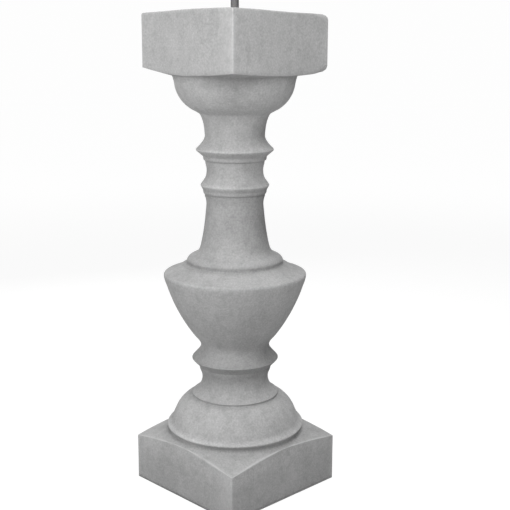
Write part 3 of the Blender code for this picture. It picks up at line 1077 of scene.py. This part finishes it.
@dataclass
class SteelBar:
    """Plain round bar in the cap, cut off square with a small burr."""

    sides: int = 32
    ring_step: float = 2.5 * MM
    cut_bevel: float = 0.5 * MM
    burr: float = 0.1 * MM          # how far the middle of the cut lies under its rim
    scale_depth: float = 0.07 * MM
    crease: float = math.radians(50)
    seed: int = 11

    def build(self, finish: Material) -> Object:
        """Make the bar.

        Args:
            finish: Its material.

        Returns:
            The finished piece.
        """
        (left, _, foot), (right, _, top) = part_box(BAR_NODE)
        radius, bevel = (right - left) / 2, self.cut_bevel
        random = np.random.default_rng(self.seed)
        steps = round((top - foot - 2 * bevel) / self.ring_step)
        heights = np.linspace(foot + bevel, top - bevel, steps + 1)
        rings = [(radius - bevel, foot), *((radius, height) for height in heights),
                 (radius - bevel * 0.3, top - bevel * 0.3), (radius - bevel, top),
                 (radius * 0.5, top - self.burr)]
        form = bmesh.new()
        loops = []
        for ring, height in rings:
            dents = random.random(self.sides) * self.scale_depth
            loops.append([form.verts.new(((ring - dent) * math.cos(math.tau * k / self.sides),
                                          (ring - dent) * math.sin(math.tau * k / self.sides), height))
                          for k, dent in enumerate(dents)])
        for lower, upper in zip(loops, loops[1:]):
            for k in range(self.sides):
                after = (k + 1) % self.sides
                form.faces.new((lower[k], lower[after], upper[after], upper[k]))
        form.faces.new(list(reversed(loops[0])))
        form.faces.new(loops[-1])
        for face in form.faces:
            face.smooth = len(face.verts) == 4
        mesh = bpy.data.meshes.new("steel_bar")
        form.to_mesh(mesh)
        form.free()
        mesh.set_sharp_from_angle(angle=self.crease)
        mesh.materials.append(finish)
        LOG.info("bar: %d faces", len(mesh.polygons))
        return new_object("steel_bar", mesh)


# Stage, light and camera


@dataclass(frozen=True)
class PaleFloor:
    """Plain pale studio floor, paler further out, where it runs into the surround without a line."""

    name: str = "pale_studio_floor"
    colour: str = "#808080"
    near_glow: float = 0.88
    far_glow: float = 0.985
    near: float = 0.5
    far: float = 3.0
    bounce: float = 0.356           # light that it throws up at the object
    radius: float = 9.0
    sides: int = 96

    def build(self) -> Object:
        """Make the floor.

        Returns:
            The floor's object.
        """
        form = bmesh.new()
        bmesh.ops.create_circle(form, cap_ends=True, segments=self.sides, radius=self.radius)
        mesh = bpy.data.meshes.new(self.name)
        form.to_mesh(mesh)
        form.free()
        material, _, add = new_material(self.name)
        material.node_tree.nodes.clear()
        sight = add("ShaderNodeLightPath").outputs["Is Camera Ray"]
        away = add(VECTOR_MATH, [add("ShaderNodeTexCoord").outputs["Object"]], operation="LENGTH")
        seen = add(MAP_RANGE, {"Value": away, "From Min": self.near, "From Max": self.far,
                               "To Min": self.near_glow, "To Max": self.far_glow},
                   interpolation_type="SMOOTHSTEP")
        glow = add(MIX, {SHARE: sight, PLAIN_FROM: self.bounce, PLAIN_TO: seen}, data_type="FLOAT")
        light = add("ShaderNodeEmission", {"Strength": glow})
        matt = add("ShaderNodeBsdfDiffuse", {"Color": linear(self.colour)})
        add("ShaderNodeOutputMaterial", {"Surface": add("ShaderNodeAddShader", [light, matt])})
        mesh.materials.append(material)
        return new_object(self.name, mesh)


@dataclass(frozen=True)
class Softbox:
    """Soft studio light, placed round the object by its direction as the camera sees it."""

    name: str
    azimuth: float                  # degrees to the right of the camera
    distance: float                 # from the axis, level
    height: float
    power: float
    size: float = 0.6
    aim: float = 0.33               # height of the point on the axis that it faces

    def build(self, camera_azimuth: float) -> Object:
        """Make the light.

        Args:
            camera_azimuth: Direction of the camera from the object, in degrees round the axis.

        Returns:
            The light's object.
        """
        light = bpy.data.lights.new(self.name, "AREA")
        light.shape, light.size, light.energy = "DISK", self.size, self.power
        made = bpy.data.objects.new(self.name, light)
        turn = math.radians(camera_azimuth + self.azimuth)
        made.location = Vector((math.cos(turn) * self.distance, math.sin(turn) * self.distance, self.height))
        made.rotation_euler = (made.location - Vector((0, 0, self.aim))).to_track_quat("Z", "Y").to_euler()
        made.visible_camera = False
        bpy.context.scene.collection.objects.link(made)
        return made


@dataclass(frozen=True)
class Studio:
    """Camera of the photograph, its lights and the pale surround."""

    focal_pixels: float = 956.0
    sensor: float = 36.0
    pitch: float = 11.96            # degrees down
    yaw: float = 1.222              # degrees to the right of the axis
    roll: float = 0.19
    distance: float = 1.1862
    height: float = 0.5528
    azimuth: float = -43.15         # direction of the camera from the axis, in degrees from +X
    backdrop: float = 0.985         # brightness of the surround to the camera
    lights: tuple[Softbox, ...] = (
        Softbox("left_softbox", azimuth=-60, distance=1.27, height=0.77, power=8.5, size=0.9, aim=0.5),
        Softbox("top_softbox", azimuth=12, distance=0.57, height=1.67, power=7.2, size=0.9, aim=0.5),
        Softbox("front_softbox", azimuth=5, distance=0.75, height=0.95, power=4.5),
        Softbox("right_softbox", azimuth=50, distance=0.80, height=0.42, power=0.76),
        Softbox("right_back_softbox", azimuth=145, distance=0.90, height=1.10, power=4.7),
        Softbox("back_softbox", azimuth=-160, distance=1.0, height=0.7, power=3.0, size=0.9, aim=0.3),
    )

    def camera(self) -> None:
        """Make the camera and set it as the scene's."""
        data = bpy.data.cameras.new("camera")
        data.sensor_width = self.sensor
        data.lens = self.sensor * self.focal_pixels / PHOTO_SIDE
        data.clip_start, data.clip_end = 0.05, 60.0
        made = bpy.data.objects.new("camera", data)
        bpy.context.scene.collection.objects.link(made)
        turn = math.radians(self.azimuth)
        place = Vector((math.cos(turn) * self.distance, math.sin(turn) * self.distance, self.height))
        facing = turn + math.pi - math.radians(self.yaw)
        level = Euler((math.radians(90 - self.pitch), 0, facing - math.pi / 2)).to_matrix()
        turned = level @ Matrix.Rotation(math.radians(self.roll), 3, "Z")
        made.matrix_world = Matrix.Translation(place) @ turned.to_4x4()
        bpy.context.scene.camera = made

    def world(self) -> None:
        """Make the surround: white to the camera, and dark to the object, which lights and floor light."""
        world = bpy.data.worlds.new("surround")
        world.use_nodes = True
        add = partial(add_node, world.node_tree)
        sight = add("ShaderNodeLightPath").outputs["Is Camera Ray"]
        level = add(MATH, [sight, self.backdrop], operation="MULTIPLY")
        feed(world.node_tree.nodes["Background"], {"Color": linear("#FFFFFF"), "Strength": level})
        bpy.context.scene.world = world
        bpy.context.scene.view_settings.view_transform = "Standard"

    def build(self) -> None:
        """Make the camera, the surround and the lights."""
        self.camera()
        self.world()
        for light in self.lights:
            light.build(self.azimuth)


def main() -> None:
    """Build the studio, the casting and the bar, and hook them to the frame."""
    logging.basicConfig(level=logging.INFO, format="%(name)s: %(message)s")
    Studio().build()
    PaleFloor().build()

    stone = Baluster().build(CastCement().build())
    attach(stone, BODY)
    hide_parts(STONE_NODE)

    bar = SteelBar().build(HotRolledSteel().build())
    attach(bar, BODY)
    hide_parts(BAR_NODE)


if __name__ == "__main__":
    main()
